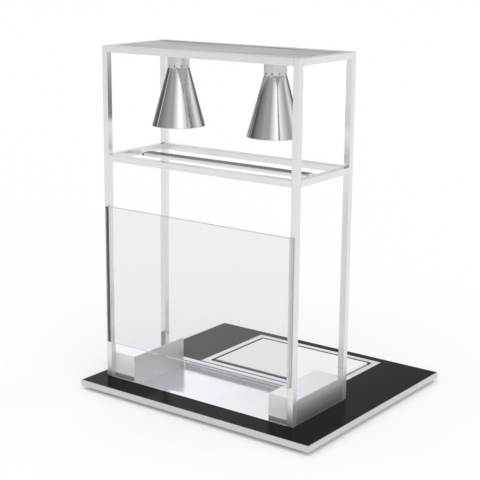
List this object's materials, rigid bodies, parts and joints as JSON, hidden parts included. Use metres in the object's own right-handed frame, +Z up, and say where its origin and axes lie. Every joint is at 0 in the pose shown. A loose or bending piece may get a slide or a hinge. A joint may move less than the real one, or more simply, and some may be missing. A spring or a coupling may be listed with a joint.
{
  "type": "heated carving station",
  "caption": "Carving station with a steel lamp tower, cone heat lamps, a light bar, a guard glass, a sunken warming tray and a lift-off carving board on a black glass base.",
  "frame": {"origin": "middle of the base, on the surface that the feet stand on", "axes": "+Z up along the tower, +X to the right as the guests see it, +Y from the guests to the carver"},
  "size_m": [0.868, 0.773, 1.0955],
  "materials": {
    "brushed_frame": "satin stainless steel",
    "brushed_panel": "long-grain stainless sheet",
    "spun_shade": "spun and polished",
    "polished_tray": "mirror-polished stainless sheet",
    "black_glass": "gloss black toughened glass",
    "clear_glass": "clear toughened glass",
    "clear_bond": "clear bonding tape",
    "black_rubber": "matte",
    "heating_mat": "silicone heating mat",
    "insulation": "mineral fibre sheet",
    "white_board": "satin white cutting board",
    "ceramic_holder": "glazed white",
    "bulb_glass": "frosted reflector bulb",
    "bar_aluminium": "anodised",
    "opal_diffuser": "opal",
    "led_strip": "strip board",
    "black_plastic": "moulded",
    "bright_steel": "turned",
    "pilot_lens": "clear amber",
    "rocker_plastic": "gloss black",
    "brass_blades": "bright",
    "ivory_plastic": "moulded"
  },
  "bodies": {
    "station": {"base_rim": "brushed_frame", "bottom_pan": "brushed_frame", "pedestal_left": "brushed_frame", "pedestal_right": "brushed_frame", "post_front_left": "brushed_frame", "post_front_right": "brushed_frame", "post_rear_left": "brushed_frame", "post_rear_right": "brushed_frame", "top_rail_front": "brushed_frame", "top_rail_rear": "brushed_frame", "top_rail_left": "brushed_frame", "top_rail_right": "brushed_frame", "mid_rail_front": "brushed_frame", "mid_rail_rear": "brushed_frame", "mid_rail_left": "brushed_frame", "mid_rail_right": "brushed_frame", "lamp_channel_left": "brushed_frame", "lamp_channel_right": "brushed_frame", "collar_left": "brushed_frame", "collar_right": "brushed_frame", "bar_brackets": "brushed_frame", "top_panel": "brushed_panel", "shade_left": "spun_shade", "shade_right": "spun_shade", "well_tray": "polished_tray", "board_frame": "polished_tray", "deck_glass": "black_glass", "guard_glass": "clear_glass", "guard_bonds": "clear_bond", "feet": "black_rubber", "well_heater": "heating_mat", "board_heater": "heating_mat", "well_insulation": "insulation", "board_insulation": "insulation", "holder_left": "ceramic_holder", "holder_right": "ceramic_holder", "bulb_left": "bulb_glass", "bulb_right": "bulb_glass", "bar_housing": "bar_aluminium", "bar_diffuser": "opal_diffuser", "bar_led_strip": "led_strip", "bar_end_caps": "black_plastic", "thermostat": "black_plastic", "switch_lamps": "black_plastic", "switch_heat": "black_plastic", "power_inlet": "black_plastic", "pilot_light": "pilot_lens", "inlet_blades": "brass_blades", "terminal_block": "ivory_plastic"},
    "board": {"carving_board": "white_board", "board_pads": "black_rubber"},
    "knob": {"heat_knob": "black_plastic", "heat_spindle": "bright_steel"},
    "rocker_a": {"rocker_lamps": "rocker_plastic"},
    "rocker_b": {"rocker_heat": "rocker_plastic"}
  },
  "joints": [
    {"name": "board_lift", "type": "slide", "parent": "station", "child": "board", "axis": [0, 0, 1], "range_m": [0, 0.08]},
    {"name": "knob_turn", "type": "hinge", "parent": "station", "child": "knob", "pos_m": [-0.336, -0.027, 0.073], "axis": [0, -1, 0], "range_deg": [0, 270]},
    {"name": "rocker_a_tilt", "type": "hinge", "parent": "station", "child": "rocker_a", "pos_m": [0.248, -0.027, 0.073], "axis": [-1, 0, 0], "range_deg": [0, 16]},
    {"name": "rocker_b_tilt", "type": "hinge", "parent": "station", "child": "rocker_b", "pos_m": [0.282, -0.027, 0.073], "axis": [-1, 0, 0], "range_deg": [0, 16]}
  ]
}
